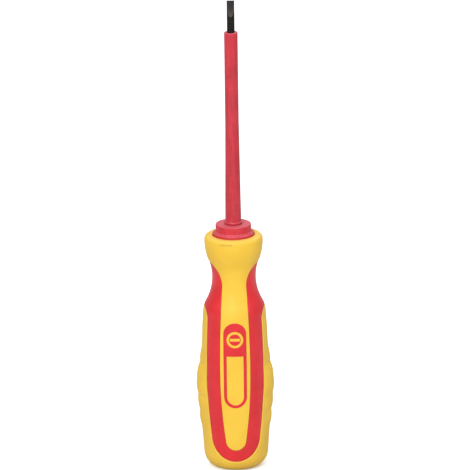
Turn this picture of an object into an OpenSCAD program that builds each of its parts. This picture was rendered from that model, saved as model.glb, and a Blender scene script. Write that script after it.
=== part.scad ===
// Insulated slotted screwdriver: a steel blade in an insulating sleeve, held in a handle of two colours.
// Origin at the centre of the butt, +Z along the blade towards the tip, front badge towards -Y.

/* [Blade] */
// Diameter of the round blade
blade_d = 2.5; // [2:0.1:4]
// Reach of the blade from the collar's top face to the tip
blade_reach = 75; // [50:1:150]
// Bare steel between the sleeve's end and the tip
bare_l = 10.5; // [7:0.5:15]
// Length of the ground tip
tip_l = 5.2; // [3:0.1:6]
// Thickness of the tip at its end
tip_t = 0.4; // [0.3:0.05:0.6]
// Height of the tang's lower end above the butt
tang_z = 20; // [12:1:30]
// Height of the middle of the tang's wings above the butt
wing_z = 34; // [28:1:42]
// Length of the wings along the blade
wing_l = 8; // [4:0.5:12]
// Width across the wings
wing_w = 5; // [4:0.1:7]
// Thickness of the wings
wing_t = 1.1; // [0.8:0.1:1.6]

/* [Insulating sleeve] */
// Wall of the sleeve over the blade, along its slim front half
sleeve_wall = 0.95; // [0.7:0.05:1.5]
// Wall of the sleeve over the blade, at its foot
sleeve_foot_wall = 1.35; // [1:0.05:2]
// Length over which the sleeve tapers
sleeve_taper_l = 33; // [15:1:40]
// Bevel round the sleeve's front end
sleeve_bevel = 0.35; // [0.1:0.05:0.6]
// How far the bead at the sleeve's foot stands out
bead_rise = 0.3; // [0.1:0.05:0.8]
// Height of the bead
bead_h = 0.8; // [0.5:0.1:1.5]
// Length of sleeve held inside the handle, below the collar's top face
sleeve_root_l = 15; // [8:1:20]

/* [Nose collar] */
// How far the flange stands out past the collar's drum
flange_step = 1; // [0.5:0.1:2]
// Height of the drum
drum_h = 2.6; // [1.6:0.1:4]
// Height of the flange above the bell's mouth
flange_rise = 0.6; // [0.3:0.1:1.5]
// Height of the slope between the flange and the drum
flange_slope_h = 0.9; // [0.3:0.1:1.2]
// Depth of the collar's seat below the bell's mouth
seat_depth = 2; // [1:0.1:3]

/* [Handle] */
// Height of the handle, from the butt to the bell's mouth
handle_h = 78; // [72:1:95]
// Diameter of the grip at its two ends
body_d = 20.6; // [18:0.2:25]
// How far the grip's radius swells at its belly
belly_rise = 0.5; // [0.1:0.1:1]
// Height of the belly above the butt
belly_z = 28; // [24:1:32]
// Diameter of the waist under the bell
waist_d = 14.4; // [13:0.1:15]
// Radius of the waist's hollow curve
waist_curve = 16.5; // [14:0.5:18]
// Radius of the grip's round shoulder under the waist
shoulder_curve = 8; // [6:0.5:10]
// Diameter of the bell
bell_d = 18.9; // [16:0.1:23]
// Radius of the bell's long curve
bell_curve = 18; // [15:0.5:22]
// Distance of the bell's widest ring below its mouth
bell_drop = 1.95; // [1.5:0.05:6]
// Width of the bell's rim round the collar
rim_w = 2.7; // [2.2:0.1:4]
// Radius of the bell's rounded lip
lip_r = 1.5; // [0.8:0.1:2]
// Diameter of the butt's end, inside its round corner
butt_flat_d = 11; // [8:0.5:14]
// Bevel round the flat that the butt stands on
butt_bevel = 0.5; // [0.1:0.05:0.8]
// Height of the butt's round corner
butt_round_h = 5; // [3:0.5:8]
// Thickness of the outer mouldings over the core
layer_t = 2.2; // [1.6:0.1:2.6]

/* [Tongues and band] */
// Greatest width of a tongue
tongue_w = 10; // [9:0.1:12]
// Width of a tongue at the waist
tongue_waist_w = 7.9; // [7:0.1:9]
// Height of the tongue's lower end above the butt
tongue_z = 7.7; // [7:0.1:10]
// Radius of the tongue's round lower end
tongue_end_r = 3.4; // [3:0.1:4]
// Radius of the flare from a tongue into the bell
flare_r = 8.8; // [7:0.2:11]
// How far the band's outer edges lie in from the grip's sides
band_side = 1; // [0.6:0.1:2]
// Height of the band's lower end above the butt
band_z = 3.8; // [3:0.1:5]
// Depth of the band below the yellow surface
band_inset = 0.2; // [0.1:0.05:0.5]

/* [Side pads] */
// Distance of each pad's own upright axis from the handle's axis
pad_axis_x = 5.7; // [5.2:0.1:7]
// Distance of the topmost notch below the grip's shoulder
scallop_drop = 11.4; // [8:0.1:16]
// Height of the lowest notch above the butt
scallop_low_z = 13.5; // [11:0.1:16]
// How far each scallop bulges between its notches
scallop_rise = 0.25; // [0.1:0.05:0.5]

/* [Badges] */
// Yellow left between a badge and the tongue's edges
badge_margin = 1.3; // [0.8:0.1:2]
// Length of a badge
badge_l = 28.6; // [20:0.2:32]
// Height of a badge's middle above the butt
badge_z = 36.6; // [32:0.2:40]
// Width of the badge's outer ring
badge_ring_w = 1; // [0.6:0.1:1.5]
// Length of the badge's red upper field
badge_field_l = 11.2; // [8:0.2:13]
// Yellow left round the slotted-screw sign in the field
sign_gap = 0.8; // [0.5:0.1:1.2]
// Width of the sign's rim at the ends of its slot
sign_edge = 0.3; // [0.2:0.05:0.6]
// Width of the sign's slot
sign_slot_w = 0.9; // [0.6:0.1:1.2]
// Depth of the inlay
badge_t = 0.8; // [0.5:0.1:1.2]

/* [Hidden] */

// Circles and revolved bodies are exact; this only sets how finely they are drawn.
$fn = 64;
// Reach of cutting shapes past what they cut
past = 1;
// How far half a stencil reaches in front of or behind the axis
stencil_t = 20;

flange_z = handle_h + flange_rise;
collar_top = flange_z + drum_h;
seat_z = handle_h - seat_depth;
tip_z = collar_top + blade_reach;
sleeve_end = tip_z - bare_l;
sleeve_root_z = collar_top - sleeve_root_l;
sleeve_r = blade_d / 2 + sleeve_wall;
sleeve_foot_r = blade_d / 2 + sleeve_foot_wall;

// The handle's outline is a chain of arcs: corner, belly, shoulder, waist and bell.
body_r = body_d / 2;
belly_r = body_r + belly_rise;
waist_r = waist_d / 2;
bell_r = bell_d / 2;
flange_r = bell_r - rim_w;
drum_r = flange_r - flange_step;
bell_x = bell_r - bell_curve;
bell_z = handle_h - bell_drop;
waist_x = waist_r + waist_curve;
waist_z = bell_z - sqrt(pow(waist_curve + bell_curve, 2) - pow(waist_x - bell_x, 2));
shoulder_x = body_r - shoulder_curve;
shoulder_z = waist_z - sqrt(pow(waist_curve + shoulder_curve, 2) - pow(waist_x - shoulder_x, 2));
shoulder_turn = acos((waist_x - shoulder_x) / (waist_curve + shoulder_curve));
bell_turn = acos((waist_x - bell_x) / (waist_curve + bell_curve));

// Where a tongue's flare starts below the waist, and its widest place below the middle of its length
flare_drop = 1.6;
wide_drop = 1;
flare_z = waist_z - flare_drop;
wide_z = (tongue_z + flare_z) / 2 - wide_drop;
tongue_end_z = tongue_z + tongue_end_r;
tongue_low_r = bow_r(tongue_w / 2 - tongue_end_r, wide_z - tongue_end_z);
tongue_high_r = bow_r((tongue_w - tongue_waist_w) / 2, flare_z - wide_z);

// How far the band's sides swell past its round lower end and past the foot of its arch
band_swell = 1.4;
arch_swell = 0.4;
// Foot of the arch below the shoulder, the arch's radius, and the angle at which it has left the waist's side
arch_drop = 1.2;
arch_r = 7.5;
arch_turn = 42;
band_w = body_d - 2 * band_side;
band_end_r = band_w / 2 - band_swell;
band_end_z = band_z + band_end_r;
band_low_r = bow_r(band_swell, wide_z - band_end_z);
arch_x = band_w / 2 - arch_swell;
arch_z = shoulder_z - arch_drop;
band_high_r = bow_r(arch_swell, arch_z - wide_z);

// How far each notch of a side pad stands out from the grip's side, from the top notch down
notch_rise = [0.2, 1.05, 2.1, 1.75, 1.25, 0.7];
notches = len(notch_rise);
scallop_top_z = shoulder_z - scallop_drop;
scallop_pitch = (scallop_top_z - scallop_low_z) / (notches - 1);
// Where the side pads run out into the grip's body
pad_run = 5;
pad_top_z = scallop_top_z + pad_run;
pad_sink = 0.2;
pad_side = body_r - pad_axis_x - pad_sink;

badge_w = tongue_w - 2 * badge_margin;
sign_d = badge_w - 2 * badge_ring_w - 2 * sign_gap;
sign_slot_l = sign_d - 2 * sign_edge;
badge_field_z = badge_z + badge_l / 2 - badge_field_l;
sign_z = badge_field_z + badge_field_l / 2;
collar_bevel = 0.3;

// Points of an arc round [x, z], from angle a to angle b, in n steps
function arc(x, z, rx, rz, a, b, n) =
    [for (i = [0:n]) [x + rx * cos(a + (b - a) * i / n), z + rz * sin(a + (b - a) * i / n)]];

// Radius of the arc that falls away by s over the length c
function bow_r(s, c) = (s * s + c * c) / (2 * s);

// Half-width of the bow with its greatest half-width w at height z0
function bow(w, z0, z, r) = w - r + sqrt(r * r - pow(z - z0, 2));

// Right-hand outline of the handle up to the height top, set back from its surface by d
function handle_side(d, top) = concat(
    [[butt_flat_d / 2 - butt_bevel, d]],
    arc(butt_flat_d / 2, butt_round_h, body_r - butt_flat_d / 2 - d, butt_round_h - butt_bevel - d,
        -90, 0, 10),
    [for (i = [1:4]) let (z = butt_round_h + i * (belly_z - butt_round_h) / 4)
        [bow(belly_r, belly_z, z, bow_r(belly_rise, belly_z - butt_round_h)) - d, z]],
    [for (i = [1:3]) let (z = belly_z + i * (shoulder_z - belly_z) / 4)
        [bow(belly_r, belly_z, z, bow_r(belly_rise, shoulder_z - belly_z)) - d, z]],
    arc(shoulder_x, shoulder_z, shoulder_curve - d, shoulder_curve - d, 0, shoulder_turn, 6),
    arc(waist_x, waist_z, waist_curve + d, waist_curve + d, 180 + shoulder_turn, 180 - bell_turn, 14),
    arc(bell_x, bell_z, bell_curve - d, bell_curve - d, -bell_turn,
        asin(min(0, top - bell_z) / (bell_curve - d)), 8),
    [if (top > bell_z) [bell_r - d, top]]);

module handle_body(d = 0) {
    rotate_extrude()
        polygon(concat([[0, d]], handle_side(d, seat_z), [[0, seat_z]]));
}

// Rim of the bell: round the lip, across the rim and down to the collar's seat
rim_side = concat(
    arc(bell_r - lip_r, handle_h - lip_r, lip_r, lip_r, 15, 90, 5),
    [[flange_r, handle_h], [flange_r, seat_z]]);

module bar(d, z0, z1) {
    translate([0, 0, z0])
        cylinder(d = d, h = z1 - z0);
}

// Everything between the handle's surface, set back by d, and the core, up to the height top and past its rim
module layer(d, top, rim = []) {
    core_side = handle_side(layer_t, seat_z);
    rotate_extrude()
        polygon(concat(
            [[0, d]], handle_side(d, top), rim,
            [for (i = [len(core_side) - 1:-1:0]) core_side[i]], [[0, layer_t]]));
}

// A front-view outline made solid: its points are the right-hand side, from the bottom up
module stencil(side) {
    left = [for (i = [len(side) - 1:-1:0]) if (side[i][0] > 0) [-side[i][0], side[i][1]]];
    rotate([90, 0, 0])
        linear_extrude(height = 2 * stencil_t, center = true)
            polygon(concat(side, left));
}

module tongue_stencil() {
    stencil(concat(
        arc(0, tongue_end_z, tongue_end_r, tongue_end_r, -90, -8, 10),
        [for (i = [0:5]) let (z = tongue_end_z + i * (wide_z - tongue_end_z) / 6)
            [bow(tongue_w / 2, wide_z, z, tongue_low_r), z]],
        [for (i = [0:6]) let (z = wide_z + i * (flare_z - wide_z) / 7)
            [bow(tongue_w / 2, wide_z, z, tongue_high_r), z]],
        arc(tongue_waist_w / 2 + flare_r, flare_z, flare_r, flare_r, 180, 90, 12),
        [[stencil_t, flare_z + flare_r], [stencil_t, handle_h + past]]));
}

module band_stencil() {
    stencil(concat(
        arc(0, band_end_z, band_end_r, band_end_r, -90, -8, 12),
        [for (i = [0:5]) let (z = band_end_z + i * (wide_z - band_end_z) / 6)
            [bow(band_w / 2, wide_z, z, band_low_r), z]],
        [for (i = [0:3]) let (z = wide_z + i * (arch_z - wide_z) / 4)
            [bow(band_w / 2, wide_z, z, band_high_r), z]],
        arc(arch_x + arch_r, arch_z, arch_r, arch_r, 180, 180 - arch_turn, 5),
        [[arch_x + arch_r * (1 - cos(arch_turn)), handle_h + past]]));
}

// Side pads are turned bodies, each about its own upright axis, with a scalloped outline.
module side_pad() {
    lobes = [for (i = [0:notches - 2]) each lobe(notch(i), notch(i + 1))];
    translate([pad_axis_x, 0, 0])
        rotate_extrude()
            polygon(concat(
                [[0, pad_top_z], [pad_side, pad_top_z]], lobes, [notch(notches - 1)],
                [[pad_side, butt_round_h + pad_sink], [0, butt_round_h + pad_sink]]));
}

function notch(i) = [body_r + notch_rise[i] - pad_axis_x, scallop_top_z - i * scallop_pitch];

// A shallow bulge of five chords from notch a down to notch b
function lobe(a, b) =
    [for (t = [0:0.2:0.8]) a + (b - a) * t + [4 * scallop_rise * t * (1 - t), 0]];

// Round-ended outline of a badge, drawn in from its edge by d
module badge_outline(d = 0) {
    r = badge_w / 2 - d;
    square([2 * r, badge_l - badge_w], center = true);
    for (side = [-1, 1])
        translate([0, side * (badge_l - badge_w) / 2])
            circle(r = r);
}

// Ring with a solid field at its upper end, open round the sign
module ring_stencil() {
    translate([0, 0, badge_z])
        rotate([90, 0, 0])
            linear_extrude(height = stencil_t)
                difference() {
                    badge_outline();
                    intersection() {
                        badge_outline(badge_ring_w);
                        translate([-badge_w, badge_field_z - badge_z - badge_l])
                            square([2 * badge_w, badge_l]);
                    }
                    translate([0, sign_z - badge_z])
                        circle(d = sign_d + 2 * sign_gap);
                }
}

// Slotted-screw sign: a round head with a slot in it
module sign_stencil() {
    translate([0, 0, sign_z])
        rotate([90, 0, 0])
            linear_extrude(height = stencil_t)
                difference() {
                    circle(d = sign_d);
                    square([sign_slot_l, sign_slot_w], center = true);
                }
}

// Cuts an inlay's stencil to the surface and depth of the inlay
module inlay() {
    difference() {
        intersection() {
            children();
            handle_body();
        }
        handle_body(badge_t);
    }
}

module badge_pockets() {
    difference() {
        union() {
            ring_stencil();
            sign_stencil();
        }
        handle_body(badge_t);
    }
}

module tang_wings() {
    translate([-wing_w / 2, -wing_t / 2, wing_z - wing_l / 2])
        cube([wing_w, wing_t, wing_l]);
}

module blade() {
    color("#3a3734") {
        bar(blade_d, tang_z, tip_z - tip_l);
        tang_wings();
        intersection() {
            bar(blade_d, tip_z - tip_l, tip_z);
            rotate([90, 0, 90])
                linear_extrude(height = 2 * blade_d, center = true)
                    polygon([[-blade_d / 2, tip_z - tip_l], [blade_d / 2, tip_z - tip_l],
                             [tip_t / 2, tip_z], [-tip_t / 2, tip_z]]);
        }
    }
}

module blade_sleeve() {
    color("#d2404b")
        rotate_extrude()
            polygon(concat(
                [[blade_d / 2, sleeve_root_z], [sleeve_foot_r, sleeve_root_z]],
                arc(sleeve_foot_r, collar_top + bead_h / 2, bead_rise, bead_h / 2, -90, 90, 8),
                [[sleeve_r, collar_top + bead_h + sleeve_taper_l], [sleeve_r, sleeve_end - sleeve_bevel],
                 [sleeve_r - sleeve_bevel, sleeve_end], [blade_d / 2, sleeve_end]]));
}

module nose_collar() {
    color("#e13b48")
        rotate_extrude()
            polygon([[sleeve_foot_r, seat_z], [flange_r, seat_z],
                     [flange_r, flange_z], [drum_r, flange_z + flange_slope_h],
                     [drum_r, collar_top - collar_bevel],
                     [drum_r - collar_bevel, collar_top], [sleeve_foot_r, collar_top]]);
}

module handle_core() {
    color("#c8323c")
        difference() {
            handle_body(layer_t);
            bar(blade_d, tang_z, sleeve_root_z + past);
            tang_wings();
            bar(2 * sleeve_foot_r, sleeve_root_z, seat_z + past);
        }
}

module front_shell() {
    color("#f9d355")
        difference() {
            intersection() {
                layer(0, handle_h - lip_r, rim_side);
                tongue_stencil();
            }
            badge_pockets();
            rotate([0, 0, 180])
                badge_pockets();
        }
}

module grip_band() {
    color("#df3840")
        difference() {
            intersection() {
                layer(band_inset, seat_z);
                band_stencil();
            }
            tongue_stencil();
        }
}

module butt_shell() {
    color("#f2c44c")
        difference() {
            union() {
                handle_body();
                side_pad();
                rotate([0, 0, 180])
                    side_pad();
            }
            handle_body(layer_t);
            band_stencil();
        }
}

module front_ring() { color("#df3840") inlay() ring_stencil(); }
module front_sign() { color("#df3840") inlay() sign_stencil(); }
module rear_ring() { color("#df3840") rotate([0, 0, 180]) inlay() ring_stencil(); }
module rear_sign() { color("#df3840") rotate([0, 0, 180]) inlay() sign_stencil(); }

blade();
blade_sleeve();
nose_collar();
handle_core();
front_shell();
grip_band();
butt_shell();
front_ring();
front_sign();
rear_ring();
rear_sign();
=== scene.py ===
import math
from bisect import bisect_right
import bpy
import bmesh
from mathutils import Matrix, Vector, noise


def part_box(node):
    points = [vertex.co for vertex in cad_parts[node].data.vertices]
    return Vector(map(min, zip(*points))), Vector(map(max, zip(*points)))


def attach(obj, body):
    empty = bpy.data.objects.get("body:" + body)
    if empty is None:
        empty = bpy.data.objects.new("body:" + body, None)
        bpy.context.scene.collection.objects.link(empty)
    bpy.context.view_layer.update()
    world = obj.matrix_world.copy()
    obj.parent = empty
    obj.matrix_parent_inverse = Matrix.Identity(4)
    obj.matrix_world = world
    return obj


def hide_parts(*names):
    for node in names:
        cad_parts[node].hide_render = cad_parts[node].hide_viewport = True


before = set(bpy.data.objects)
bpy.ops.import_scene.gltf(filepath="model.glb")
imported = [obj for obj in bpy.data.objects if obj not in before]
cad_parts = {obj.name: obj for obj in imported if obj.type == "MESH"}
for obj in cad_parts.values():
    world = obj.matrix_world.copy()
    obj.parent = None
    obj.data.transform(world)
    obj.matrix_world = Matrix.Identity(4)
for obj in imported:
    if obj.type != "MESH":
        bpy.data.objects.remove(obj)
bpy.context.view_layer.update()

metre = 0.001  # lengths are in millimetres until a mesh is finished, and then scaled by this


def topOf(node):
    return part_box(node)[1].z / metre


def reachOf(node):
    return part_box(node)[1].x / metre


mouthZ = topOf("front_shell")
collarTopZ = topOf("nose_collar")
sleeveEndZ = topOf("blade_sleeve")
tipZ = topOf("blade")
bellR = reachOf("front_shell")
flangeR = reachOf("nose_collar")

handle = {
    "gripR": 10.3, "bellyRise": 0.5, "bellyZ": 28.0, "waistR": 7.2, "waistCurve": 16.5,
    "shoulderCurve": 8.0, "bellCurve": 18.0, "bellDrop": 1.95, "lipR": 1.5, "mouthEdgeR": 0.4,
    "buttFlatR": 5.5, "buttRoundH": 5.0, "seatDepth": 2.0,
    "step": 0.1, "unrollR": 10.0,
}


def arc(x, z, rx, rz, start, end, count):
    angles = [math.radians(start + (end - start) * i / count) for i in range(count + 1)]
    return [(x + rx * math.cos(t), z + rz * math.sin(t)) for t in angles]


def bowRadius(swell, reach):
    return (swell * swell + reach * reach) / (2 * swell)


def bow(widest, middle, radius, start, end, count):
    heights = [start + (end - start) * i / count for i in range(count + 1)]
    return [(widest - radius + math.sqrt(radius ** 2 - (z - middle) ** 2), z) for z in heights]


def resample(points, step):
    lengths = [0.0]
    for p, q in zip(points, points[1:]):
        lengths.append(lengths[-1] + math.dist(p, q))
    count = max(1, round(lengths[-1] / step))
    spaced = []
    for i in range(count + 1):
        goal = lengths[-1] * i / count
        k = min(bisect_right(lengths, goal), len(points) - 1)
        span = lengths[k] - lengths[k - 1]
        f = (goal - lengths[k - 1]) / span if span else 0.0
        p, q = points[k - 1], points[k]
        spaced.append((p[0] + (q[0] - p[0]) * f, p[1] + (q[1] - p[1]) * f))
    return spaced


h = handle
bellZ = mouthZ - h["bellDrop"]
bellX = bellR - h["bellCurve"]
waistX = h["waistR"] + h["waistCurve"]
waistZ = bellZ - math.sqrt((h["waistCurve"] + h["bellCurve"]) ** 2 - (waistX - bellX) ** 2)
shoulderX = h["gripR"] - h["shoulderCurve"]
shoulderReach = h["waistCurve"] + h["shoulderCurve"]
shoulderZ = waistZ - math.sqrt(shoulderReach ** 2 - (waistX - shoulderX) ** 2)
shoulderTurn = math.degrees(math.acos((waistX - shoulderX) / shoulderReach))
bellTurn = math.degrees(math.acos((waistX - bellX) / (h["waistCurve"] + h["bellCurve"])))
bellyR = h["gripR"] + h["bellyRise"]
lowBow = bowRadius(h["bellyRise"], h["bellyZ"] - h["buttRoundH"])
highBow = bowRadius(h["bellyRise"], shoulderZ - h["bellyZ"])
edgeR = h["mouthEdgeR"]

outline = [(0.0, 0.0)]
outline += arc(h["buttFlatR"], h["buttRoundH"], h["gripR"] - h["buttFlatR"], h["buttRoundH"], -90, 0, 80)
outline += bow(bellyR, h["bellyZ"], lowBow, h["buttRoundH"], h["bellyZ"], 40)[1:]
outline += bow(bellyR, h["bellyZ"], highBow, h["bellyZ"], shoulderZ, 40)[1:]
outline += arc(shoulderX, shoulderZ, h["shoulderCurve"], h["shoulderCurve"], 0, shoulderTurn, 60)[1:]
outline += arc(waistX, waistZ, h["waistCurve"], h["waistCurve"], 180 + shoulderTurn, 180 - bellTurn,
               120)[1:]
outline += arc(bellX, bellZ, h["bellCurve"], h["bellCurve"], -bellTurn, 0, 80)[1:]
outline += arc(bellR - h["lipR"], mouthZ - h["lipR"], h["lipR"], h["lipR"], 0, 90, 40)
outline += arc(flangeR + edgeR, mouthZ - edgeR, edgeR, edgeR, 90, 180, 20)
outline += [(flangeR, mouthZ - h["seatDepth"])]

profile = resample(outline, h["step"])
stepLength = math.dist(profile[200], profile[201])
profileEnd = stepLength * (len(profile) - 1)
rimIndex = max(range(len(profile)), key=lambda i: profile[i][1])
wallHeights = [z for r, z in profile[:rimIndex]]
seam = h["unrollR"] * math.pi / 2


def profileNormal(i):
    p, q = profile[max(i - 2, 0)], profile[min(i + 2, len(profile) - 1)]
    if i < 3:
        return 0.0, -1.0
    length = math.dist(p, q)
    return (q[1] - p[1]) / length, -(q[0] - p[0]) / length


normals = [profileNormal(i) for i in range(len(profile))]


# Radius, height and outward direction at a distance along the outline from the middle of the butt
def along(s):
    t = min(max(s / stepLength, 0.0), len(profile) - 1.001)
    i = int(t)
    f = t - i
    pair = zip(profile[i] + normals[i], profile[i + 1] + normals[i + 1])
    return [a + (b - a) * f for a, b in pair]


def placeOf(z):
    i = min(max(bisect_right(wallHeights, z), 1), len(wallHeights) - 1)
    low, high = wallHeights[i - 1], wallHeights[i]
    f = (z - low) / (high - low) if high > low else 0.0
    return (i - 1 + min(max(f, 0.0), 1.0)) * stepLength


# Lays a front-view outline on the unrolled handle; it ends where it passes round the side.
def unroll(points):
    placed = []
    for x, z in points:
        s = placeOf(z)
        r = along(s)[0]
        if x >= r:
            break
        placed.append((h["unrollR"] * math.asin(max(x, 0.0) / r), s))
    return placed


print("outline ready, grip shoulder at", round(shoulderZ, 2), "mm, waist at", round(waistZ, 2), "mm")


def newGroup(name, inputs, outputs):
    tree = bpy.data.node_groups.new(name, "ShaderNodeTree")
    for socketName, socketType, value in inputs:
        socket = tree.interface.new_socket(socketName, in_out="INPUT", socket_type=socketType)
        socket.default_value = value
    for socketName, socketType in outputs:
        tree.interface.new_socket(socketName, in_out="OUTPUT", socket_type=socketType)
    return tree, tree.nodes.new("NodeGroupInput"), tree.nodes.new("NodeGroupOutput")


def addNoise(tree, coordinate, scale, detail=2.0, roughness=0.5):
    node = tree.nodes.new("ShaderNodeTexNoise")
    node.inputs["Detail"].default_value = detail
    node.inputs["Roughness"].default_value = roughness
    if hasattr(scale, "links"):
        tree.links.new(scale, node.inputs["Scale"])
    else:
        node.inputs["Scale"].default_value = scale
    tree.links.new(coordinate, node.inputs["Vector"])
    return node.outputs["Fac"]


def addRange(tree, value, low, high, newLow=0.0, newHigh=1.0):
    node = tree.nodes.new("ShaderNodeMapRange")
    node.interpolation_type = "SMOOTHSTEP"
    for name, number in (("From Min", low), ("From Max", high), ("To Min", newLow), ("To Max", newHigh)):
        node.inputs[name].default_value = number
    tree.links.new(value, node.inputs["Value"])
    return node.outputs["Result"]


def addMath(tree, operation, first, second):
    node = tree.nodes.new("ShaderNodeMath")
    node.operation = operation
    for socket, value in zip(node.inputs, (first, second)):
        if hasattr(value, "links"):
            tree.links.new(value, socket)
        else:
            socket.default_value = value
    return node.outputs["Value"]


def addMix(tree, mask, first, second, blend="MIX"):
    node = tree.nodes.new("ShaderNodeMix")
    node.data_type = "RGBA"
    node.blend_type = blend
    for socket, value in ((node.inputs[0], mask), (node.inputs[6], first), (node.inputs[7], second)):
        if hasattr(value, "links"):
            tree.links.new(value, socket)
        else:
            socket.default_value = value
    return node.outputs[2]


# Moulded plastic: an even fine grain, a slower flow mottle and a soft unevenness of the gloss
def makeGrainGroup():
    tree, inside, outside = newGroup(
        "mouldedGrain",
        [("Vector", "NodeSocketVector", (0, 0, 0)), ("Grain Scale", "NodeSocketFloat", 2600.0),
         ("Flow Scale", "NodeSocketFloat", 90.0)],
        [("Height", "NodeSocketFloat"), ("Mottle", "NodeSocketFloat"), ("Gloss", "NodeSocketFloat"),
         ("Streak", "NodeSocketFloat")])
    vector = inside.outputs["Vector"]
    fine = addNoise(tree, vector, inside.outputs["Grain Scale"], 2.0)
    slow = addNoise(tree, vector, inside.outputs["Flow Scale"], 3.0)
    ripple = addMath(tree, "MULTIPLY", slow, 0.8)
    tree.links.new(addMath(tree, "ADD", fine, ripple), outside.inputs["Height"])
    tree.links.new(addRange(tree, slow, 0.32, 0.68), outside.inputs["Mottle"])
    broad = addNoise(tree, vector, addMath(tree, "MULTIPLY", inside.outputs["Flow Scale"], 4.0), 4.0, 0.6)
    tree.links.new(addRange(tree, broad, 0.3, 0.75), outside.inputs["Gloss"])
    drawn = tree.nodes.new("ShaderNodeMapping")
    drawn.inputs["Scale"].default_value = (1.0, 1.0, 0.08)
    tree.links.new(vector, drawn.inputs["Vector"])
    streakScale = addMath(tree, "MULTIPLY", inside.outputs["Flow Scale"], 5.0)
    streak = addNoise(tree, drawn.outputs["Vector"], streakScale, 2.0)
    tree.links.new(addRange(tree, streak, 0.38, 0.66), outside.inputs["Streak"])
    return tree


# Handling: dust and a painted sheen on what faces up, sparse small scuffs, worn moulding edges, and painted
# shade where a rounded edge dips into the groove between mouldings
def makeHandlingGroup():
    tree, inside, outside = newGroup(
        "handlingMarks",
        [("Vector", "NodeSocketVector", (0, 0, 0)), ("Dust And Sheen", "NodeSocketFloat", 0.5),
         ("Scuffs", "NodeSocketFloat", 0.5)],
        [("Dust And Sheen", "NodeSocketFloat"), ("Scuff", "NodeSocketFloat"), ("Edge", "NodeSocketFloat"),
         ("Groove Shade", "NodeSocketFloat")])
    vector = inside.outputs["Vector"]
    geometry = tree.nodes.new("ShaderNodeNewGeometry")
    split = tree.nodes.new("ShaderNodeSeparateXYZ")
    tree.links.new(geometry.outputs["Normal"], split.inputs["Vector"])
    # Dust and painted sheen: faces turned up are lightened towards a paler tint, as light from above would
    # make them look
    facing = addRange(tree, split.outputs["Z"], 0.35, 0.95)
    speckle = addRange(tree, addNoise(tree, vector, 1400.0, 4.0, 0.7), 0.25, 0.75)
    dustAndSheen = addMath(tree, "MULTIPLY", facing, addRange(tree, speckle, 0.0, 1.0, 0.45, 1.0))
    tree.links.new(addMath(tree, "MULTIPLY", dustAndSheen, inside.outputs["Dust And Sheen"]), outside.inputs["Dust And Sheen"])
    stretch = tree.nodes.new("ShaderNodeMapping")
    stretch.inputs["Rotation"].default_value = (0.3, 0.5, 0.2)
    stretch.inputs["Scale"].default_value = (1.0, 1.0, 0.22)
    tree.links.new(vector, stretch.inputs["Vector"])
    streak = addNoise(tree, stretch.outputs["Vector"], 900.0, 3.0, 0.65)
    patch = addNoise(tree, vector, 60.0, 2.0)
    scuff = addMath(tree, "MULTIPLY", addRange(tree, streak, 0.60, 0.72), addRange(tree, patch, 0.50, 0.66))
    tree.links.new(addMath(tree, "MULTIPLY", scuff, inside.outputs["Scuffs"]), outside.inputs["Scuff"])
    mark = tree.nodes.new("ShaderNodeAttribute")
    mark.attribute_name = "edge"
    broken = addRange(tree, speckle, 0.0, 1.0, 0.4, 1.0)
    rounding = addMath(tree, "MULTIPLY", addRange(tree, mark.outputs["Fac"], 0.05, 0.5), broken)
    tree.links.new(rounding, outside.inputs["Edge"])
    # Painted shade: the lower part of each rounded edge, where it dips into the groove between mouldings,
    # is marked for darkening
    tree.links.new(addRange(tree, mark.outputs["Fac"], 0.55, 0.95), outside.inputs["Groove Shade"])
    return tree


grainGroup = makeGrainGroup()
handlingGroup = makeHandlingGroup()


def placeGroup(tree, group, coordinate, values):
    node = tree.nodes.new("ShaderNodeGroup")
    node.node_tree = group
    tree.links.new(coordinate, node.inputs["Vector"])
    for name, value in values.items():
        node.inputs[name].default_value = value
    return node


def startMaterial(name):
    material = bpy.data.materials.new(name)
    material.use_nodes = True
    tree = material.node_tree
    coordinate = tree.nodes.new("ShaderNodeTexCoord").outputs["Object"]
    return material, tree, coordinate, tree.nodes["Principled BSDF"]


def addBump(tree, shader, height, distance, strength=1.0):
    bump = tree.nodes.new("ShaderNodeBump")
    bump.inputs["Strength"].default_value = strength
    bump.inputs["Distance"].default_value = distance
    tree.links.new(height, bump.inputs["Height"])
    tree.links.new(bump.outputs["Normal"], shader.inputs["Normal"])


# Painted shade: one short dark streak under the bell's lip
def addLipShadeStreak(tree, coordinate, look):
    centred = tree.nodes.new("ShaderNodeMapping")
    centred.inputs["Location"].default_value = [-c for c in look["lipShadePlace"]]
    tree.links.new(coordinate, centred.inputs["Vector"])
    length = tree.nodes.new("ShaderNodeSeparateXYZ")
    tree.links.new(centred.outputs["Vector"], length.inputs["Vector"])
    half, thick = look["lipShadeSize"]
    across = addMath(tree, "ABSOLUTE", length.outputs["X"], 0.0)
    upDown = addMath(tree, "ABSOLUTE", length.outputs["Z"], 0.0)
    front = addRange(tree, length.outputs["Y"], 0.004, 0.002)
    mask = addMath(tree, "MULTIPLY", addRange(tree, across, half, half * 0.6),
                   addRange(tree, upDown, thick, 0.0))
    broken = addRange(tree, addNoise(tree, coordinate, 2200.0, 3.0), 0.3, 0.6, 0.35, 1.0)
    mask = addMath(tree, "MULTIPLY", addMath(tree, "MULTIPLY", mask, front), broken)
    return addMath(tree, "MULTIPLY", mask, look["lipShadeStrength"])


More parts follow.
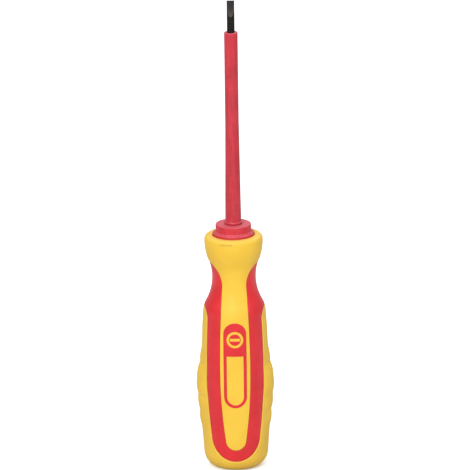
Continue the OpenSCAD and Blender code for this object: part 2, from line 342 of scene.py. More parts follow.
# One recipe for every moulded plastic on the tool; each dictionary below holds what sets one apart.
def makePlastic(name, look):
    material, tree, coordinate, shader = startMaterial(name)
    grain = placeGroup(tree, grainGroup, coordinate,
                       {"Grain Scale": look["grainScale"], "Flow Scale": look["flowScale"]})
    marks = placeGroup(tree, handlingGroup, coordinate, {"Dust And Sheen": look["dustAndSheen"], "Scuffs": look["scuffs"]})
    colour = addMix(tree, grain.outputs["Mottle"], look["colour"], look["flowColour"])
    colour = addMix(tree, addMath(tree, "MULTIPLY", grain.outputs["Streak"], look["streaks"]),
                    colour, look["wornColour"])
    colour = addMix(tree, addMath(tree, "MULTIPLY", marks.outputs["Edge"], look["edgeWear"]),
                    colour, look["wornColour"])
    # Painted shade: edges that dip into the grooves between mouldings are darkened
    colour = addMix(tree, addMath(tree, "MULTIPLY", marks.outputs["Groove Shade"], look["grooveShade"]),
                    colour, look["grooveShadeColour"])
    colour = addMix(tree, marks.outputs["Scuff"], colour, look["scuffColour"])
    # Dust and painted sheen: upward faces are lightened towards the pale dust-and-sheen tint
    colour = addMix(tree, marks.outputs["Dust And Sheen"], colour, look["dustAndSheenColour"])
    # Painted shade streak under the bell's lip
    if "lipShadePlace" in look:
        colour = addMix(tree, addLipShadeStreak(tree, coordinate, look), colour, look["lipShadeColour"])
    tree.links.new(colour, shader.inputs["Base Color"])
    gloss = addRange(tree, grain.outputs["Gloss"], 0.0, 1.0,
                     look["roughness"] - 0.06, look["roughness"] + 0.08)
    gloss = addMath(tree, "ADD", gloss, addMath(tree, "MULTIPLY", marks.outputs["Scuff"], 0.25))
    gloss = addMath(tree, "ADD", gloss, addMath(tree, "MULTIPLY", marks.outputs["Dust And Sheen"], 0.3))
    tree.links.new(gloss, shader.inputs["Roughness"])
    addBump(tree, shader, grain.outputs["Height"], look["grainDepth"])
    shader.inputs["IOR"].default_value = look["ior"]
    return material


# In every look below, the pale dust tint is dust with a painted sheen on upward faces, and the dark dirt
# tint is painted shade in the grooves between mouldings
yellowLook = {
    "colour": (0.79, 0.50, 0.046, 1), "flowColour": (0.76, 0.465, 0.038, 1),
    "wornColour": (0.88, 0.58, 0.10, 1), "grooveShadeColour": (0.28, 0.12, 0.02, 1),
    "scuffColour": (0.55, 0.36, 0.08, 1), "dustAndSheenColour": (0.86, 0.66, 0.26, 1),
    "grainScale": 2600.0, "flowScale": 90.0, "grainDepth": 0.000012, "roughness": 0.55, "ior": 1.38,
    "dustAndSheen": 0.22, "scuffs": 0.35, "edgeWear": 0.35, "grooveShade": 0.45, "streaks": 0.0,
}
padLook = dict(yellowLook, colour=(0.78, 0.50, 0.050, 1), flowColour=(0.74, 0.46, 0.042, 1),
               grainScale=2100.0, grainDepth=0.00002, scuffs=0.5)
bandLook = {
    "colour": (0.66, 0.014, 0.020, 1), "flowColour": (0.58, 0.011, 0.017, 1),
    "wornColour": (0.74, 0.04, 0.04, 1), "grooveShadeColour": (0.20, 0.006, 0.006, 1),
    "scuffColour": (0.52, 0.03, 0.03, 1), "dustAndSheenColour": (0.78, 0.16, 0.17, 1),
    "grainScale": 1900.0, "flowScale": 110.0, "grainDepth": 0.000016, "roughness": 0.40, "ior": 1.47,
    "dustAndSheen": 0.15, "scuffs": 0.3, "edgeWear": 0.4, "grooveShade": 0.6, "streaks": 0.12,
}
sleeveLook = {
    "colour": (0.50, 0.017, 0.031, 1), "flowColour": (0.41, 0.013, 0.024, 1),
    "wornColour": (0.62, 0.06, 0.08, 1), "grooveShadeColour": (0.25, 0.01, 0.012, 1),
    "scuffColour": (0.66, 0.09, 0.12, 1), "dustAndSheenColour": (0.66, 0.17, 0.22, 1),
    "grainScale": 2800.0, "flowScale": 240.0, "grainDepth": 0.000018, "roughness": 0.46, "ior": 1.48,
    "dustAndSheen": 0.6, "scuffs": 0.4, "edgeWear": 0.4, "grooveShade": 0.5, "streaks": 0.22,
}
collarLook = dict(sleeveLook, colour=(0.57, 0.017, 0.028, 1), flowColour=(0.50, 0.014, 0.023, 1),
                  dustAndSheenColour=(0.62, 0.14, 0.18, 1), dustAndSheen=0.75, flowScale=320.0, roughness=0.45)
badgeLook = dict(bandLook, roughness=0.44, flowScale=300.0)
coreLook = dict(bandLook, roughness=0.3, scuffs=0.0)

blade = {
    "barColour": (0.008, 0.008, 0.007, 1), "groundColour": (0.034, 0.030, 0.026, 1),
    "wornColour": (0.11, 0.10, 0.09, 1), "oilColour": (0.018, 0.014, 0.010, 1),
    "tipLength": 5.2, "tipThickness": 0.4, "bladeR": 1.25, "tangZ": 20.0, "grindCurve": 2.0,
    "wingZ": 34.0, "wingLength": 8.0, "wingWidth": 5.0, "wingThickness": 1.1, "wingRun": 0.8,
    "tangPinch": 0.7, "plainHeights": [60.0, 100.0], "tipStep": 0.1, "tipEdge": 0.04, "tipEdgeRise": 0.03,
    "segments": 96,
}


# Burnished bar, brighter where it is ground for the tip, with fine grinding lines across it
def makeBladeSteel():
    material, tree, coordinate, shader = startMaterial("bladeSteel")
    marks = placeGroup(tree, handlingGroup, coordinate, {"Dust And Sheen": 0.0, "Scuffs": 0.7})
    grain = placeGroup(tree, grainGroup, coordinate, {"Grain Scale": 3200.0, "Flow Scale": 420.0})
    ground = tree.nodes.new("ShaderNodeAttribute")
    ground.attribute_name = "ground"
    bar = addMix(tree, grain.outputs["Mottle"], blade["barColour"], blade["oilColour"])
    colour = addMix(tree, ground.outputs["Fac"], bar, blade["groundColour"])
    for mark, strength in (("Scuff", 0.6), ("Edge", 0.7)):
        worn = addMath(tree, "MULTIPLY", marks.outputs[mark], strength)
        colour = addMix(tree, worn, colour, blade["wornColour"])
    tree.links.new(colour, shader.inputs["Base Color"])
    shader.inputs["Metallic"].default_value = 0.6
    shader.inputs["Specular IOR Level"].default_value = 0.3
    tree.links.new(addRange(tree, grain.outputs["Gloss"], 0.0, 1.0, 0.32, 0.46), shader.inputs["Roughness"])
    stretch = tree.nodes.new("ShaderNodeMapping")
    stretch.inputs["Scale"].default_value = (0.12, 1.0, 1.0)
    tree.links.new(coordinate, stretch.inputs["Vector"])
    lines = addNoise(tree, stretch.outputs["Vector"], 9000.0, 2.0)
    lines = addMath(tree, "MULTIPLY", lines, ground.outputs["Fac"])
    addBump(tree, shader, addMath(tree, "ADD", grain.outputs["Height"], lines), 0.000008)
    return material


# The yellow shell carries the painted shade streak under the bell's lip
yellowPlastic = makePlastic("yellowPlastic", dict(
    yellowLook, lipShadePlace=(-0.0024, -0.0094, 0.0768), lipShadeSize=(0.0026, 0.0006), lipShadeStrength=0.5,
    lipShadeColour=(0.27, 0.19, 0.03, 1)))
padPlastic = makePlastic("padPlastic", padLook)
bandRubber = makePlastic("bandRubber", bandLook)
sleevePlastic = makePlastic("sleevePlastic", sleeveLook)
collarPlastic = makePlastic("collarPlastic", collarLook)
badgePlastic = makePlastic("badgePlastic", badgeLook)
corePlastic = makePlastic("corePlastic", coreLook)
bladeSteel = makeBladeSteel()
print("finishes ready")


mould = {
    "grid": 0.5, "rimGrid": 0.16, "edgeSteps": 4, "edgeR": 0.22, "depth": 1.3, "overshoot": 2.0,
    "hairline": 0.04, "bandInset": 0.14, "rimFade": 4.0, "rimDepthShare": 0.16,
}


def shift(points, distance):
    moved = []
    for i, (a, b) in enumerate(points):
        p, q = points[max(i - 1, 0)], points[min(i + 1, len(points) - 1)]
        length = math.dist(p, q)
        moved.append((a + distance * (q[1] - p[1]) / length, b - distance * (q[0] - p[0]) / length))
    return moved


def cutAt(bm, across, value, clear=False):
    direction = Vector((1, 0, 0)) if across else Vector((0, 1, 0))
    if clear == "below":
        direction = -direction
    bmesh.ops.bisect_plane(bm, geom=bm.verts[:] + bm.edges[:] + bm.faces[:], dist=1e-5,
                           plane_co=(value, value, 0), plane_no=direction, clear_outer=bool(clear))


# A closed slab on the unrolled handle: an outline with a depth, its upper edge rounded in small insets
def makeSlab(points, top, depth, edgeRadius):
    bm = bmesh.new()
    area = sum(p[0] * q[1] - q[0] * p[1] for p, q in zip(points, points[1:] + points[:1]))
    if area < 0:
        points = points[::-1]
    base = bm.faces.new([bm.verts.new((a, b, top - depth)) for a, b in points])
    raised = bmesh.ops.extrude_face_region(bm, geom=[base])["geom"]
    lift = Vector((0, 0, depth - edgeRadius))
    bmesh.ops.translate(bm, vec=lift, verts=[g for g in raised if isinstance(g, bmesh.types.BMVert)])
    face = [g for g in raised if isinstance(g, bmesh.types.BMFace)]
    turns = [math.radians(90 * i / mould["edgeSteps"]) for i in range(mould["edgeSteps"] + 1)]
    for low, high in zip(turns, turns[1:]):
        bmesh.ops.inset_region(
            bm, faces=face, thickness=edgeRadius * (math.cos(low) - math.cos(high)),
            depth=edgeRadius * (math.sin(high) - math.sin(low)), use_even_offset=True, use_boundary=True)
    edge = bm.verts.layers.float.new("edge")
    for v in bm.verts:
        below = (top - v.co.z) / edgeRadius
        v[edge] = 0.0 if below < 0.001 else min(0.5 + 0.5 * max(below - 0.6, 0) / 0.4, 1.0)
    return bm


def gridCuts(bm, extra=()):
    low = [min(v.co[k] for v in bm.verts) for k in (0, 1)]
    high = [max(v.co[k] for v in bm.verts) for k in (0, 1)]
    lipPlace = placeOf(mouthZ - h["lipR"])
    places = [low[1] + mould["grid"] * i for i in range(1, int((high[1] - low[1]) / mould["grid"]))]
    places = [s for s in places if s < lipPlace]
    if high[1] > lipPlace:
        count = int((high[1] - lipPlace) / mould["rimGrid"])
        places += [lipPlace + (high[1] - lipPlace) * i / count for i in range(count)]
    for s in sorted(places + [e for e in extra if low[1] < e < high[1]]):
        cutAt(bm, False, s)
    count = int(min(high[0], seam) / mould["grid"]) + 1
    for i in range(1, count):
        cutAt(bm, True, seam * i / round(seam / mould["grid"]))


# Rolls a slab up round the handle's outline
def rollUp(bm, swell=None):
    lipPlace = placeOf(mouthZ - h["lipR"])
    for v in bm.verts:
        a, s, height = v.co
        r, z, outR, outZ = along(s)
        if height < 0 and s > lipPlace - mould["rimFade"]:
            share = min((s - lipPlace + mould["rimFade"]) / mould["rimFade"], 1.0)
            height *= 1 - share * (1 - mould["rimDepthShare"])
        angle = a / h["unrollR"]
        radius = r + height * outR + (swell(angle, s, r, z) if swell else 0.0)
        v.co = Vector((radius * math.sin(angle), -radius * math.cos(angle), z + height * outZ))


def mirrorAcross(bm, axes):
    for axis in axes:
        bmesh.ops.mirror(bm, geom=bm.verts[:] + bm.edges[:] + bm.faces[:], merge_dist=1e-4, axis=axis)


def finishMesh(bm, name, material, sharpAngle=38.0):
    bmesh.ops.remove_doubles(bm, verts=bm.verts[:], dist=2e-4)
    bmesh.ops.dissolve_degenerate(bm, dist=1e-5, edges=bm.edges[:])
    loose = [v for v in bm.verts if not v.link_faces]
    bmesh.ops.delete(bm, geom=loose, context="VERTS")
    bmesh.ops.recalc_face_normals(bm, faces=bm.faces[:])
    openEdges = sum(1 for e in bm.edges if len(e.link_faces) != 2)
    bmesh.ops.scale(bm, vec=(metre, metre, metre), verts=bm.verts[:])
    mesh = bpy.data.meshes.new(name)
    bm.to_mesh(mesh)
    bm.free()
    mesh.polygons.foreach_set("use_smooth", [True] * len(mesh.polygons))
    mesh.set_sharp_from_angle(angle=math.radians(sharpAngle))
    mesh.materials.append(material)
    piece = bpy.data.objects.new(name, mesh)
    bpy.context.scene.collection.objects.link(piece)
    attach(piece, "root")
    print(name, len(mesh.polygons), "faces, open edges:", openEdges)
    return piece


tongue = {"halfWidth": 5.0, "waistHalfWidth": 3.95, "endZ": 7.7, "endR": 3.4, "flareR": 8.8,
          "flareDrop": 1.6, "wideDrop": 1.0}
band = {"sideInset": 1.0, "endZ": 3.8, "swell": 1.4, "archSwell": 0.4, "archDrop": 1.2, "archR": 7.5,
        "archTurn": 42.0}

flareZ = waistZ - tongue["flareDrop"]
wideZ = (tongue["endZ"] + flareZ) / 2 - tongue["wideDrop"]
tongueEndZ = tongue["endZ"] + tongue["endR"]
endTurn = 8.0
fineSteps = 4000


def tongueLine():
    wide, waist = tongue["halfWidth"], tongue["waistHalfWidth"]
    line = arc(0, tongueEndZ, tongue["endR"], tongue["endR"], -90, -endTurn, 200)
    line += bow(wide, wideZ, bowRadius(wide - tongue["endR"], wideZ - tongueEndZ), tongueEndZ, wideZ, 200)
    line += bow(wide, wideZ, bowRadius(wide - waist, flareZ - wideZ), wideZ, flareZ, 200)[1:]
    flareR = tongue["flareR"]
    line += arc(waist + flareR, flareZ, flareR, flareR, 180, 90, fineSteps)[1:]
    return resample(unroll(line), mould["grid"])


def bandLine():
    half = h["gripR"] - band["sideInset"]
    endR = half - band["swell"]
    endZ = band["endZ"] + endR
    archX, archZ = half - band["archSwell"], shoulderZ - band["archDrop"]
    line = arc(0, endZ, endR, endR, -90, -endTurn, 300)
    line += bow(half, wideZ, bowRadius(band["swell"], wideZ - endZ), endZ, wideZ, 200)
    line += bow(half, wideZ, bowRadius(band["archSwell"], archZ - wideZ), wideZ, archZ, 200)[1:]
    line += arc(archX + band["archR"], archZ, band["archR"], band["archR"], 180, 180 - band["archTurn"],
                fineSteps)[1:]
    return resample(unroll(line), mould["grid"])


innerLine = tongueLine()
outerLine = bandLine()
past = mould["overshoot"]


# Runs a line out past the seams at the front and at the side
def runOut(line):
    return [(-past, line[0][1])] + line + [(seam + past, line[-1][1])]


def trimSeams(bm, foot=False):
    cutAt(bm, True, 0.0, "below")
    cutAt(bm, True, seam, "above")
    if foot:
        cutAt(bm, False, 0.0, "below")


shellLine = runOut(shift(innerLine, -mould["hairline"]))
shell = makeSlab([(-past, profileEnd)] + shellLine + [(seam + past, profileEnd)], 0.0, mould["depth"],
                 mould["edgeR"])
gridCuts(shell)
trimSeams(shell)
rollUp(shell)
mirrorAcross(shell, "XY")
frontShell = finishMesh(shell, "frontShell", yellowPlastic)

bandTop = -mould["bandInset"]
bandUpper = runOut(shift(innerLine, mould["hairline"]))
bandLower = runOut(shift(outerLine, -mould["hairline"]))
bandSlab = makeSlab(bandLower + bandUpper[::-1], bandTop, mould["depth"] + bandTop, mould["edgeR"] * 0.7)
gridCuts(bandSlab)
trimSeams(bandSlab)
rollUp(bandSlab)
mirrorAcross(bandSlab, "XY")
gripBand = finishMesh(bandSlab, "gripBand", bandRubber)

pad = {"axisX": 5.7, "notchRise": [0.2, 1.05, 2.1, 1.75, 1.25, 0.7], "topDrop": 11.4, "lowZ": 13.5,
       "run": 5.0, "sink": 0.2, "lobeRise": 0.32, "blend": 0.6, "fadeZ": (1.5, 6.0),
       "tipRun": 4.5}
notchTopZ = shoulderZ - pad["topDrop"]
notchPitch = (notchTopZ - pad["lowZ"]) / (len(pad["notchRise"]) - 1)


# How far the pad's scalloped side stands out from the handle's axis at a height
def padReach(z):
    rises = pad["notchRise"]
    place = (notchTopZ - z) / notchPitch
    if place <= 0:
        return h["gripR"] + rises[0] + (pad["sink"] + rises[0]) * max(place * notchPitch / pad["run"], -2)
    if place >= len(rises) - 1:
        slope = (rises[-1] + pad["sink"]) / (pad["lowZ"] - h["buttRoundH"])
        return h["gripR"] + rises[-1] - slope * (pad["lowZ"] - z)
    i = int(place)
    t = place - i
    return h["gripR"] + rises[i] + (rises[i + 1] - rises[i]) * t + 4 * pad["lobeRise"] * t * (1 - t)


def padSwell(angle, s, r, z):
    if s < h["buttFlatR"]:
        return 0.0
    side = math.pi / 2 - angle
    reach = padReach(z) - pad["axisX"]
    inside = reach ** 2 - (pad["axisX"] * math.sin(side)) ** 2
    tip = min(max((z - shoulderZ) / pad["tipRun"] + 1, 0.0), 1.0)  # the pad's tip sinks level with the band
    if inside <= 0:
        return -tip * mould["bandInset"]
    padRadius = pad["axisX"] * math.cos(side) + math.sqrt(inside)
    k = pad["blend"]
    overlap = max(k - abs(padRadius - r), 0.0) / k
    swell = max(padRadius - r, 0.0) + overlap ** 2 * k / 4
    low, high = pad["fadeZ"]
    fade = min(max((z - low) / (high - low), 0.0), 1.0)
    return swell * fade * fade * (3 - 2 * fade) - tip * mould["bandInset"]


buttLine = runOut(shift(outerLine, mould["hairline"]))
butt = makeSlab([(-past, -past)] + buttLine + [(seam + past, -past)], 0.0, mould["depth"], mould["edgeR"])
notchPlaces = [placeOf(notchTopZ - notchPitch * i) for i in range(len(pad["notchRise"]))]
gridCuts(butt, notchPlaces)
trimSeams(butt, foot=True)
rollUp(butt, padSwell)
mirrorAcross(butt, "XY")
buttShell = finishMesh(butt, "buttShell", padPlastic)
print("handle mouldings ready")


badge = {
    "halfWidth": 3.7, "length": 28.6, "middleZ": 36.6, "ringWidth": 1.0, "fieldLength": 11.2,
    "signR": 1.9, "signGap": 0.8,
    "slotHalfLength": 1.55, "slotHalfWidth": 0.45, "stand": 0.12, "depth": 0.6, "edgeR": 0.14,
}


def capsuleHalf():
    r = badge["halfWidth"]
    offset = badge["length"] / 2 - r
    line = arc(0, badge["middleZ"] + offset, r, r, 90, 0, 60)
    line += arc(0, badge["middleZ"] - offset, r, r, 0, -90, 60)
    return resample(unroll(line), mould["grid"] * 0.7)


def makeBadgePiece(name, points, turned):
    slab = makeSlab(points, badge["stand"], badge["depth"], badge["edgeR"])
    gridCuts(slab)
    cutAt(slab, True, 0.0, "below")
    rollUp(slab)
    mirrorAcross(slab, "X")
    if turned:
        bmesh.ops.rotate(slab, verts=slab.verts[:], cent=(0, 0, 0), matrix=Matrix.Rotation(math.pi, 3, "Z"))
    return finishMesh(slab, name, badgePlastic)


# The right half of a round, from its lowest point to its highest
def roundHalf(radius):
    return resample(unroll(arc(0, signZ, radius, radius, -90, 90, 120)), 0.25)


topZ = badge["middleZ"] + badge["length"] / 2
fieldZ = topZ - badge["fieldLength"]
signZ = topZ - badge["fieldLength"] / 2
panelHalf = badge["halfWidth"] - badge["ringWidth"]
panelEndZ = topZ - badge["length"] + badge["halfWidth"]
panelSide = [(0.0, fieldZ), (panelHalf, fieldZ)]
panelSide += arc(0, panelEndZ, panelHalf, panelHalf, 0, -90, 60)
panel = resample(unroll(panelSide), mould["grid"] * 0.35)
outerRing = capsuleHalf()
window = roundHalf(badge["signR"] + badge["signGap"])
ringPoints = [(-1.0, outerRing[0][1])] + outerRing + [(-1.0, outerRing[-1][1]), (-1.0, panel[-1][1])]
ringPoints += panel[::-1] + [(-1.0, panel[0][1]), (-1.0, window[0][1])]
ringPoints += window + [(-1.0, window[-1][1])]
disc = roundHalf(badge["signR"])[::-1]
signPlace = placeOf(signZ)
slotLow, slotHigh = signPlace - badge["slotHalfWidth"], signPlace + badge["slotHalfWidth"]
signPoints = [(-1.0, disc[0][1])] + disc + [(-1.0, disc[-1][1]), (-1.0, slotLow)]
signPoints += [(badge["slotHalfLength"], slotLow), (badge["slotHalfLength"], slotHigh), (-1.0, slotHigh)]

frontRing = makeBadgePiece("frontRing", ringPoints, False)
rearRing = makeBadgePiece("rearRing", ringPoints, True)
frontSign = makeBadgePiece("frontSign", signPoints, False)
rearSign = makeBadgePiece("rearSign", signPoints, True)
print("badges ready")


# Turns a closed outline of radius and height about the tool's axis
def turn(points, segments):
    bm = bmesh.new()
    verts = [bm.verts.new((r, 0, z)) for r, z in points]
    edges = [bm.edges.new((verts[i - 1], verts[i])) for i in range(len(verts))]
    bmesh.ops.spin(bm, geom=verts + edges, cent=(0, 0, 0), axis=(0, 0, 1), angle=math.tau, steps=segments,
                   use_merge=True, use_duplicate=False)
    bmesh.ops.remove_doubles(bm, verts=bm.verts[:], dist=1e-4)
    bm.verts.layers.float.new("edge")
    return bm


collar = {"drumR": 5.75, "flangeRise": 0.6, "step": 0.9, "drumEdgeR": 0.35, "flangeEdgeR": 0.3,
          "slopeRise": 0.62, "filletR": 0.4, "boreR": 2.62, "segments": 128, "lumps": 0.07, "crown": 0.35,
          "clearance": 0.02}
flangeZ = mouthZ + collar["flangeRise"]
crownZ = collarTopZ + collar["crown"]


def makeCollar():
    c = collar
    rimR = flangeR - c["clearance"]
    line = [(c["boreR"], mouthZ - h["seatDepth"]), (rimR, mouthZ - h["seatDepth"])]
    lean = math.degrees(math.atan2(flangeR - c["drumR"], c["slopeRise"]))
    line += arc(rimR - c["flangeEdgeR"], flangeZ - c["flangeEdgeR"] * 0.7, c["flangeEdgeR"],
                c["flangeEdgeR"], 0, 90 - lean, 5)
    line += arc(c["drumR"] + c["filletR"], flangeZ + c["slopeRise"] + c["filletR"] * 0.5, c["filletR"],
                c["filletR"], 270 - lean, 184, 5)
    edge = c["drumEdgeR"]
    line += arc(c["drumR"] - edge, crownZ - edge, edge, edge, 0, 88, 6)
    line += [(4.6, crownZ + 0.012), (3.4, crownZ - 0.02), (c["boreR"], crownZ - 0.05)]
    bm = turn(line, c["segments"])
    for v in bm.verts:
        if v.co.z > mouthZ - 0.5:
            lump = noise.noise(Vector((v.co.x * 0.55, v.co.y * 0.55, v.co.z * 0.8)))
            onFlange = v.co.z < flangeZ + c["slopeRise"]
            v.co.x *= 1 + lump * c["lumps"] / flangeR * (1.0 if onFlange else 0.3)
            v.co.y *= 1 + lump * c["lumps"] / flangeR * (1.0 if onFlange else 0.3)
            v.co.z += lump * c["lumps"] * (0.8 if onFlange else 0.25)
    return finishMesh(bm, "noseCollar", collarPlastic)


noseCollar = makeCollar()

sleeve = {"slimR": 2.2, "footR": 2.6, "beadRise": 0.3, "beadHeight": 0.8, "taper": 33.0, "endBevel": 0.3,
          "boreR": 1.27, "rootLength": 15.0, "segments": 96, "wobble": 0.018, "ringStep": 0.9}


def makeSleeve():
    c = sleeve
    beadTop = crownZ + c["beadHeight"]
    line = [(c["boreR"], crownZ - c["rootLength"]), (c["footR"], crownZ - c["rootLength"])]
    line += [(c["footR"], crownZ - 0.1)]
    line += arc(c["footR"] + 0.02, crownZ + c["beadHeight"] / 2, c["beadRise"] - 0.02, c["beadHeight"] / 2,
                -90, 80, 10)
    side = [(c["footR"] + 0.02, beadTop + 0.05)]
    side += [(c["footR"] + (c["slimR"] - c["footR"]) * t ** 0.92, beadTop + 0.15 + (c["taper"] - 0.15) * t)
             for t in [i / 10 for i in range(11)]]
    side += [(c["slimR"], sleeveEndZ - c["endBevel"])]
    line += resample(side, c["ringStep"])
    bevel = c["endBevel"]
    line += arc(c["slimR"] - bevel, sleeveEndZ - bevel, bevel, bevel, 10, 85, 5)
    line += [(c["boreR"] + 0.12, sleeveEndZ), (c["boreR"], sleeveEndZ - 0.1)]
    bm = turn(line, c["segments"])
    for v in bm.verts:
        if v.co.z > beadTop and v.co.xy.length > c["boreR"] + 0.3:
            wave = noise.noise(Vector((v.co.x * 0.5, v.co.y * 0.5, v.co.z * 0.16)))
            ripple = noise.noise(Vector((v.co.x * 0.8 + 9, v.co.y * 0.8, v.co.z * 0.7)))
            grow = 1 + c["wobble"] * (wave + 0.5 * ripple) / c["slimR"]
            v.co.x *= grow
            v.co.y *= grow
    return finishMesh(bm, "bladeSleeve", sleevePlastic)


bladeSleeve = makeSleeve()
print("collar and sleeve ready")


def makeBlade():
    c = blade
    groundZ = tipZ - c["tipLength"]
    wingLow, wingHigh = c["wingZ"] - c["wingLength"] / 2, c["wingZ"] + c["wingLength"] / 2
    levels = [c["tangZ"] + 0.5] + [wingLow - 1 + 0.5 * i for i in range(int(c["wingLength"] * 2) + 5)]
    levels += c["plainHeights"] + [sleeveEndZ - 2, sleeveEndZ, sleeveEndZ + 2.5]
    step = c["tipStep"]
    levels += [groundZ - 4 * step + step * i for i in range(int((c["tipLength"] + 4 * step) / step))]
    levels += [tipZ - c["tipEdgeRise"]]
    bm = bmesh.new()
    bmesh.ops.create_circle(bm, cap_ends=True, radius=c["bladeR"], segments=c["segments"],
                            matrix=Matrix.Translation((0, 0, c["tangZ"])))
    cap = bm.faces[:]
    z = c["tangZ"]
    for level in levels:
        grown = bmesh.ops.extrude_face_region(bm, geom=cap)["geom"]
        cap = [g for g in grown if isinstance(g, bmesh.types.BMFace)]
        risen = [g for g in grown if isinstance(g, bmesh.types.BMVert)]
        bmesh.ops.translate(bm, vec=(0, 0, level - z), verts=risen)
        z = level
    ground = bm.verts.layers.float.new("ground")
    edge = bm.verts.layers.float.new("edge")
    for v in bm.verts:
        if v.co.z < c["tangZ"] + 0.1:
            v.co.x *= c["tangPinch"]
            v.co.y *= c["tangPinch"]
        swage = min(v.co.z - wingLow, wingHigh - v.co.z)
        if swage > 0:
            share = min(swage / c["wingRun"], 1.0)
            v.co.x *= 1 + share * (c["wingWidth"] / 2 / c["bladeR"] - 1)
            v.co.y *= 1 + share * (c["wingThickness"] / 2 / c["bladeR"] - 1)
        t = min(max((v.co.z - groundZ) / c["tipLength"], 0.0), 1.0)
        half = c["tipThickness"] / 2 + (c["bladeR"] - c["tipThickness"] / 2) * (1 - t) ** c["grindCurve"]
        if t > 0 and abs(v.co.y) > half:
            v.co.y = math.copysign(half, v.co.y)
            v[ground] = 1.0
        if t > 0 and abs(abs(v.co.y) - half) < 0.02 and abs(v.co.x) > 1.0:
            v[edge] = 0.5
    bmesh.ops.inset_region(bm, faces=cap, thickness=c["tipEdge"], depth=c["tipEdgeRise"],
                           use_even_offset=True, use_boundary=True)
    for v in cap[0].verts:
        v[edge] = 0.5
    return finishMesh(bm, "bladeBar", bladeSteel, 24.0)


bladeBar = makeBlade()
print("blade ready")


pieces = {
    "front_shell": (frontShell, "shell_yellow"), "grip_band": (gripBand, "band_red"),
    "butt_shell": (buttShell, "pad_yellow"), "front_ring": (frontRing, "badge_red"),
    "front_sign": (frontSign, "badge_red"), "rear_ring": (rearRing, "badge_red"),
    "rear_sign": (rearSign, "badge_red"), "nose_collar": (noseCollar, "collar_red"),
    "blade_sleeve": (bladeSleeve, "sleeve_red"), "blade": (bladeBar, "blade_steel"),
}
for node, (piece, slotName) in pieces.items():
    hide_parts(node)

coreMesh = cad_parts["handle_core"].data
coreMesh.materials.clear()
coreMesh.materials.append(corePlastic)


stage = {
    "floorSize": 30.0, "floorColour": (0.93, 0.93, 0.93, 1), "floorBounce": (0.62, 0.62, 0.62, 1),
    "floorGlow": 0.25, "horizonColour": (0.38, 0.39, 0.41, 1), "zenithColour": (0.95, 0.96, 1.0, 1),
    "keyPower": 15.2, "keySize": 0.7, "keyPlace": (-0.45, -1.3, 0.9),
    "fillPower": 3.0, "fillSize": 0.8, "fillPlace": (0.7, -1.0, 0.5),
    "backPower": 6.0, "backSize": 0.9, "backPlace": (0.4, 1.3, 1.3),
}


def makeFloor():
    bm = bmesh.new()
    bmesh.ops.create_grid(bm, x_segments=8, y_segments=8, size=stage["floorSize"] / 2)
    mesh = bpy.data.meshes.new("floor")
    bm.to_mesh(mesh)
    bm.free()
    floor = bpy.data.objects.new("floor", mesh)
    bpy.context.scene.collection.objects.link(floor)
    material, tree, coordinate, shader = startMaterial("palePaper")
    tooth = addNoise(tree, coordinate, 900.0, 3.0)
    paper = addMix(tree, tooth, stage["floorColour"], (0.95, 0.95, 0.95, 1))
    seen = tree.nodes.new("ShaderNodeLightPath").outputs["Is Camera Ray"]
    tree.links.new(addMix(tree, seen, stage["floorBounce"], paper), shader.inputs["Base Color"])
    shader.inputs["Emission Color"].default_value = (1, 1, 1, 1)
    tree.links.new(addMath(tree, "MULTIPLY", seen, stage["floorGlow"]), shader.inputs["Emission Strength"])
    shader.inputs["Roughness"].default_value = 0.85
    shader.inputs["Specular IOR Level"].default_value = 0.2
    mesh.materials.append(material)


def addLight(name, place, target, power, size):
    light = bpy.data.lights.new(name, "AREA")
    light.energy = power
    light.size = size
    lamp = bpy.data.objects.new(name, light)
    lamp.location = place
    lamp.rotation_euler = (Vector(target) - Vector(place)).to_track_quat("-Z", "Y").to_euler()
    bpy.context.scene.collection.objects.link(lamp)


view = {
    "distance": 4.0, "elevation": 17.0, "roll": 0.75, "sensor": 36.0, "pixelsPerMm": 3.1, "side": 470,
    "aimHeight": 77.55, "aimShift": 0.5,
}


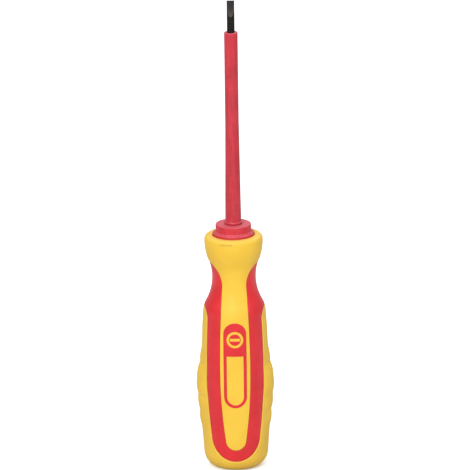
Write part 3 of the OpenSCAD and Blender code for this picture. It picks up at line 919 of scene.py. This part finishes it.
def makeCamera():
    data = bpy.data.cameras.new("camera")
    data.sensor_width = view["sensor"]
    frameWidth = view["side"] / view["pixelsPerMm"] * metre
    data.lens = view["sensor"] * view["distance"] / frameWidth
    camera = bpy.data.objects.new("camera", data)
    tilt = math.radians(view["elevation"])
    aim = Vector((view["aimShift"] * metre, 0, view["aimHeight"] * metre))
    away = Vector((0, -math.cos(tilt), math.sin(tilt)))
    turnBack = Matrix.Rotation(-math.radians(view["roll"]), 4, "Z")
    looking = (-away).to_track_quat("-Z", "Y").to_matrix().to_4x4()
    camera.matrix_world = Matrix.Translation(aim + away * view["distance"]) @ looking @ turnBack
    data.clip_start = 0.05
    bpy.context.scene.collection.objects.link(camera)
    bpy.context.scene.camera = camera


# A studio tent, dimmer round the sides than overhead, and plain white past the floor's edge
def makeTent():
    world = bpy.data.worlds.new("studioTent")
    world.use_nodes = True
    tree = world.node_tree
    split = tree.nodes.new("ShaderNodeSeparateXYZ")
    tree.links.new(tree.nodes.new("ShaderNodeTexCoord").outputs["Object"], split.inputs["Vector"])
    height = addRange(tree, split.outputs["Z"], 0.0, 0.9)
    tent = tree.nodes["Background"]
    shade = addMix(tree, height, stage["horizonColour"], stage["zenithColour"])
    tree.links.new(shade, tent.inputs["Color"])
    plain = tree.nodes.new("ShaderNodeBackground")
    plain.inputs["Color"].default_value = (1, 1, 1, 1)
    choice = tree.nodes.new("ShaderNodeMixShader")
    tree.links.new(tree.nodes.new("ShaderNodeLightPath").outputs["Is Camera Ray"], choice.inputs[0])
    tree.links.new(tent.outputs[0], choice.inputs[1])
    tree.links.new(plain.outputs[0], choice.inputs[2])
    tree.links.new(choice.outputs[0], tree.nodes["World Output"].inputs["Surface"])
    bpy.context.scene.world = world


makeTent()
bpy.context.scene.view_settings.view_transform = "Standard"
middle = (0, 0, 0.075)
addLight("keyLight", stage["keyPlace"], middle, stage["keyPower"], stage["keySize"])
addLight("fillLight", stage["fillPlace"], middle, stage["fillPower"], stage["fillSize"])
addLight("backLight", stage["backPlace"], middle, stage["backPower"], stage["backSize"])
makeFloor()
makeCamera()
print("floor, lights and camera ready")
